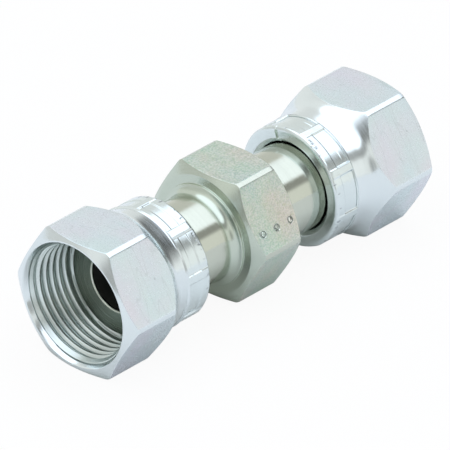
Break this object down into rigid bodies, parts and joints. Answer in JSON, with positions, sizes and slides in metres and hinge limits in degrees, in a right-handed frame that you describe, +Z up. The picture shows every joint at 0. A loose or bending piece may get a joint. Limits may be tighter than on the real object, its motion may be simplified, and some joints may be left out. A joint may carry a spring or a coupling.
{
  "type": "swivel-nut union",
  "caption": "Straight steel tube union: a turned hexagonal body with a through bore and flat seats, and a free-turning internally threaded hexagon nut crimped on at each end.",
  "frame": {"origin": "middle of the body, on the axis of its bore", "axes": "+X along the axis of the union, +Z up and square to a flat of every hexagon, +Y to the corners"},
  "size_m": [0.0874, 0.0324, 0.0286],
  "materials": {
    "nut_zinc": "bright zinc plate, cool silver, machined faces",
    "body_zinc": "zinc plate with a faint yellow-green cast, grainy flats and smooth turned faces"
  },
  "bodies": {
    "body": {"union_body": "body_zinc"},
    "left_nut": {"left_swivel_nut": "nut_zinc"},
    "right_nut": {"right_swivel_nut": "nut_zinc"}
  },
  "joints": [
    {"name": "left_nut_turn", "type": "hinge", "parent": "body", "child": "left_nut", "pos_m": [-0.03195, 0, 0], "axis": [1, 0, 0], "continuous": true},
    {"name": "right_nut_turn", "type": "hinge", "parent": "body", "child": "right_nut", "pos_m": [0.03195, 0, 0], "axis": [1, 0, 0], "continuous": true}
  ]
}
